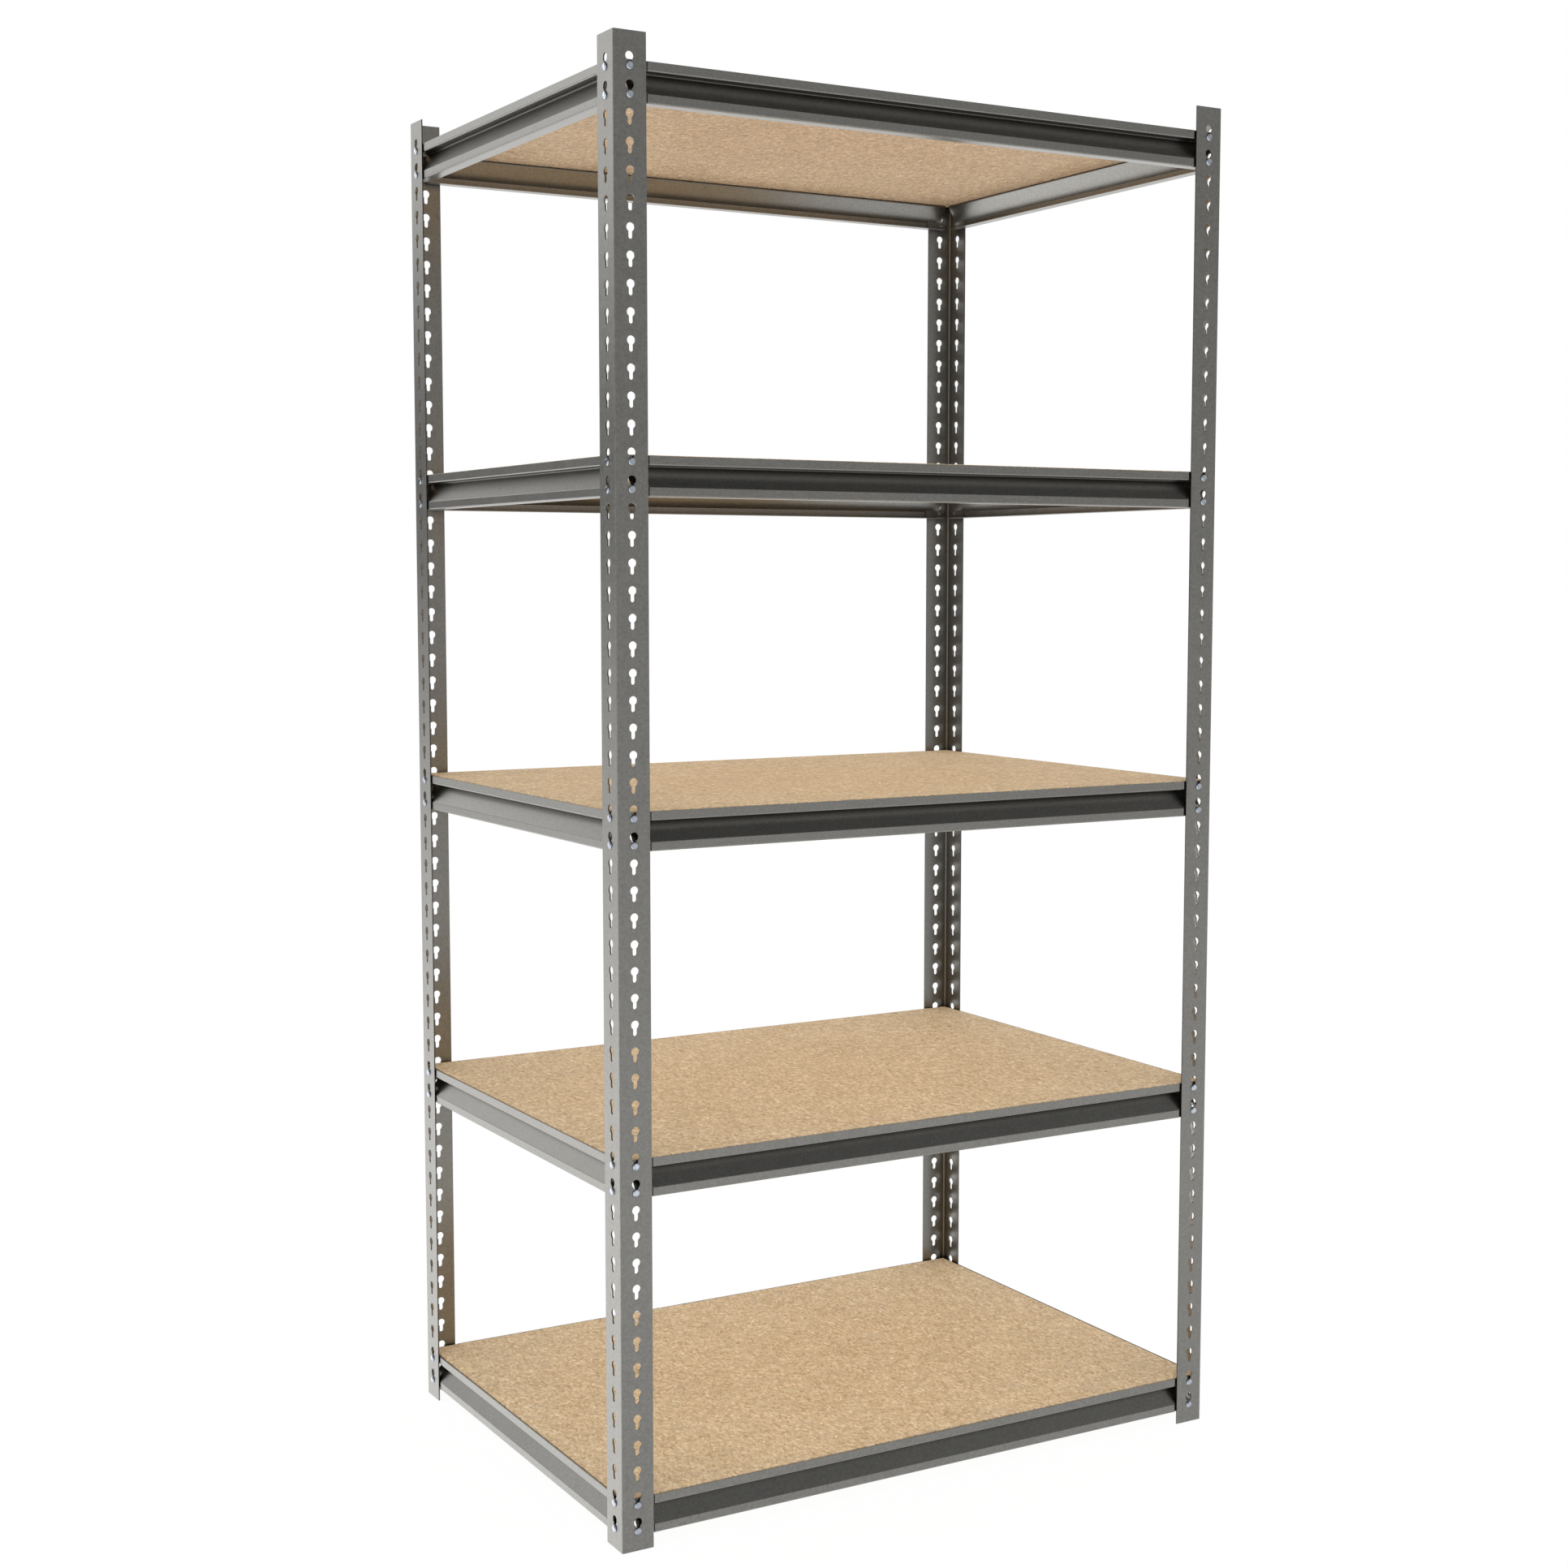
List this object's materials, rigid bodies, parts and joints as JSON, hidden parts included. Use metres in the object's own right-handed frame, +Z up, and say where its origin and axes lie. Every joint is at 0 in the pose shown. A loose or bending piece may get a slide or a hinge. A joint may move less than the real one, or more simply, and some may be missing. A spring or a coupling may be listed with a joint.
{
  "type": "boltless steel shelving unit",
  "caption": "Free-standing boltless shelving: keyhole angle posts, riveted steel rails hooked into them, and particle board decks.",
  "frame": {"origin": "centre of the unit's footprint, on the floor", "axes": "+Z up, +X to the right and +Y to the rear as seen from the front"},
  "size_m": [1.0718, 0.767, 2.1336],
  "materials": {
    "post_steel": "satin galvanised sheet with a fine mottled grain",
    "beam_steel": "satin galvanised sheet with a fine mottled grain",
    "rivet_zinc": "bright zinc",
    "particle_board": "raw particle board with fine chips"
  },
  "bodies": {
    "posts": {"post_front_left": "post_steel", "post_front_right": "post_steel", "post_rear_left": "post_steel", "post_rear_right": "post_steel"},
    "shelf_1_front": {"shelf_1_front_beam": "beam_steel", "shelf_1_front_rivets": "rivet_zinc"},
    "shelf_1_rear": {"shelf_1_rear_beam": "beam_steel", "shelf_1_rear_rivets": "rivet_zinc"},
    "shelf_1_left": {"shelf_1_left_beam": "beam_steel", "shelf_1_left_rivets": "rivet_zinc"},
    "shelf_1_right": {"shelf_1_right_beam": "beam_steel", "shelf_1_right_rivets": "rivet_zinc"},
    "shelf_1_board": {"shelf_1_deck": "particle_board"},
    "shelf_2_front": {"shelf_2_front_beam": "beam_steel", "shelf_2_front_rivets": "rivet_zinc"},
    "shelf_2_rear": {"shelf_2_rear_beam": "beam_steel", "shelf_2_rear_rivets": "rivet_zinc"},
    "shelf_2_left": {"shelf_2_left_beam": "beam_steel", "shelf_2_left_rivets": "rivet_zinc"},
    "shelf_2_right": {"shelf_2_right_beam": "beam_steel", "shelf_2_right_rivets": "rivet_zinc"},
    "shelf_2_board": {"shelf_2_deck": "particle_board"},
    "shelf_3_front": {"shelf_3_front_beam": "beam_steel", "shelf_3_front_rivets": "rivet_zinc"},
    "shelf_3_rear": {"shelf_3_rear_beam": "beam_steel", "shelf_3_rear_rivets": "rivet_zinc"},
    "shelf_3_left": {"shelf_3_left_beam": "beam_steel", "shelf_3_left_rivets": "rivet_zinc"},
    "shelf_3_right": {"shelf_3_right_beam": "beam_steel", "shelf_3_right_rivets": "rivet_zinc"},
    "shelf_3_board": {"shelf_3_deck": "particle_board"},
    "shelf_4_front": {"shelf_4_front_beam": "beam_steel", "shelf_4_front_rivets": "rivet_zinc"},
    "shelf_4_rear": {"shelf_4_rear_beam": "beam_steel", "shelf_4_rear_rivets": "rivet_zinc"},
    "shelf_4_left": {"shelf_4_left_beam": "beam_steel", "shelf_4_left_rivets": "rivet_zinc"},
    "shelf_4_right": {"shelf_4_right_beam": "beam_steel", "shelf_4_right_rivets": "rivet_zinc"},
    "shelf_4_board": {"shelf_4_deck": "particle_board"},
    "shelf_5_front": {"shelf_5_front_beam": "beam_steel", "shelf_5_front_rivets": "rivet_zinc"},
    "shelf_5_rear": {"shelf_5_rear_beam": "beam_steel", "shelf_5_rear_rivets": "rivet_zinc"},
    "shelf_5_left": {"shelf_5_left_beam": "beam_steel", "shelf_5_left_rivets": "rivet_zinc"},
    "shelf_5_right": {"shelf_5_right_beam": "beam_steel", "shelf_5_right_rivets": "rivet_zinc"},
    "shelf_5_board": {"shelf_5_deck": "particle_board"}
  },
  "joints": [
    {"name": "shelf_1_front_unhook", "type": "slide", "parent": "posts", "child": "shelf_1_front", "axis": [0, 0, 1], "range_m": [0, 0.0127]},
    {"name": "shelf_1_rear_unhook", "type": "slide", "parent": "posts", "child": "shelf_1_rear", "axis": [0, 0, 1], "range_m": [0, 0.0127]},
    {"name": "shelf_1_left_unhook", "type": "slide", "parent": "posts", "child": "shelf_1_left", "axis": [0, 0, 1], "range_m": [0, 0.0127]},
    {"name": "shelf_1_right_unhook", "type": "slide", "parent": "posts", "child": "shelf_1_right", "axis": [0, 0, 1], "range_m": [0, 0.0127]},
    {"name": "shelf_1_deck_lift", "type": "slide", "parent": "shelf_1_front", "child": "shelf_1_board", "axis": [0, 0, 1], "range_m": [0, 0.08]},
    {"name": "shelf_2_front_unhook", "type": "slide", "parent": "posts", "child": "shelf_2_front", "axis": [0, 0, 1], "range_m": [0, 0.0127]},
    {"name": "shelf_2_rear_unhook", "type": "slide", "parent": "posts", "child": "shelf_2_rear", "axis": [0, 0, 1], "range_m": [0, 0.0127]},
    {"name": "shelf_2_left_unhook", "type": "slide", "parent": "posts", "child": "shelf_2_left", "axis": [0, 0, 1], "range_m": [0, 0.0127]},
    {"name": "shelf_2_right_unhook", "type": "slide", "parent": "posts", "child": "shelf_2_right", "axis": [0, 0, 1], "range_m": [0, 0.0127]},
    {"name": "shelf_2_deck_lift", "type": "slide", "parent": "shelf_2_front", "child": "shelf_2_board", "axis": [0, 0, 1], "range_m": [0, 0.08]},
    {"name": "shelf_3_front_unhook", "type": "slide", "parent": "posts", "child": "shelf_3_front", "axis": [0, 0, 1], "range_m": [0, 0.0127]},
    {"name": "shelf_3_rear_unhook", "type": "slide", "parent": "posts", "child": "shelf_3_rear", "axis": [0, 0, 1], "range_m": [0, 0.0127]},
    {"name": "shelf_3_left_unhook", "type": "slide", "parent": "posts", "child": "shelf_3_left", "axis": [0, 0, 1], "range_m": [0, 0.0127]},
    {"name": "shelf_3_right_unhook", "type": "slide", "parent": "posts", "child": "shelf_3_right", "axis": [0, 0, 1], "range_m": [0, 0.0127]},
    {"name": "shelf_3_deck_lift", "type": "slide", "parent": "shelf_3_front", "child": "shelf_3_board", "axis": [0, 0, 1], "range_m": [0, 0.08]},
    {"name": "shelf_4_front_unhook", "type": "slide", "parent": "posts", "child": "shelf_4_front", "axis": [0, 0, 1], "range_m": [0, 0.0127]},
    {"name": "shelf_4_rear_unhook", "type": "slide", "parent": "posts", "child": "shelf_4_rear", "axis": [0, 0, 1], "range_m": [0, 0.0127]},
    {"name": "shelf_4_left_unhook", "type": "slide", "parent": "posts", "child": "shelf_4_left", "axis": [0, 0, 1], "range_m": [0, 0.0127]},
    {"name": "shelf_4_right_unhook", "type": "slide", "parent": "posts", "child": "shelf_4_right", "axis": [0, 0, 1], "range_m": [0, 0.0127]},
    {"name": "shelf_4_deck_lift", "type": "slide", "parent": "shelf_4_front", "child": "shelf_4_board", "axis": [0, 0, 1], "range_m": [0, 0.08]},
    {"name": "shelf_5_front_unhook", "type": "slide", "parent": "posts", "child": "shelf_5_front", "axis": [0, 0, 1], "range_m": [0, 0.0127]},
    {"name": "shelf_5_rear_unhook", "type": "slide", "parent": "posts", "child": "shelf_5_rear", "axis": [0, 0, 1], "range_m": [0, 0.0127]},
    {"name": "shelf_5_left_unhook", "type": "slide", "parent": "posts", "child": "shelf_5_left", "axis": [0, 0, 1], "range_m": [0, 0.0127]},
    {"name": "shelf_5_right_unhook", "type": "slide", "parent": "posts", "child": "shelf_5_right", "axis": [0, 0, 1], "range_m": [0, 0.0127]},
    {"name": "shelf_5_deck_lift", "type": "slide", "parent": "shelf_5_front", "child": "shelf_5_board", "axis": [0, 0, 1], "range_m": [0, 0.08]}
  ],
  "couplings": [
    {"joint": "shelf_1_rear_unhook", "follows": "shelf_1_front_unhook", "ratio": 1},
    {"joint": "shelf_1_left_unhook", "follows": "shelf_1_front_unhook", "ratio": 1},
    {"joint": "shelf_1_right_unhook", "follows": "shelf_1_front_unhook", "ratio": 1},
    {"joint": "shelf_2_rear_unhook", "follows": "shelf_2_front_unhook", "ratio": 1},
    {"joint": "shelf_2_left_unhook", "follows": "shelf_2_front_unhook", "ratio": 1},
    {"joint": "shelf_2_right_unhook", "follows": "shelf_2_front_unhook", "ratio": 1},
    {"joint": "shelf_3_rear_unhook", "follows": "shelf_3_front_unhook", "ratio": 1},
    {"joint": "shelf_3_left_unhook", "follows": "shelf_3_front_unhook", "ratio": 1},
    {"joint": "shelf_3_right_unhook", "follows": "shelf_3_front_unhook", "ratio": 1},
    {"joint": "shelf_4_rear_unhook", "follows": "shelf_4_front_unhook", "ratio": 1},
    {"joint": "shelf_4_left_unhook", "follows": "shelf_4_front_unhook", "ratio": 1},
    {"joint": "shelf_4_right_unhook", "follows": "shelf_4_front_unhook", "ratio": 1},
    {"joint": "shelf_5_rear_unhook", "follows": "shelf_5_front_unhook", "ratio": 1},
    {"joint": "shelf_5_left_unhook", "follows": "shelf_5_front_unhook", "ratio": 1},
    {"joint": "shelf_5_right_unhook", "follows": "shelf_5_front_unhook", "ratio": 1}
  ]
}
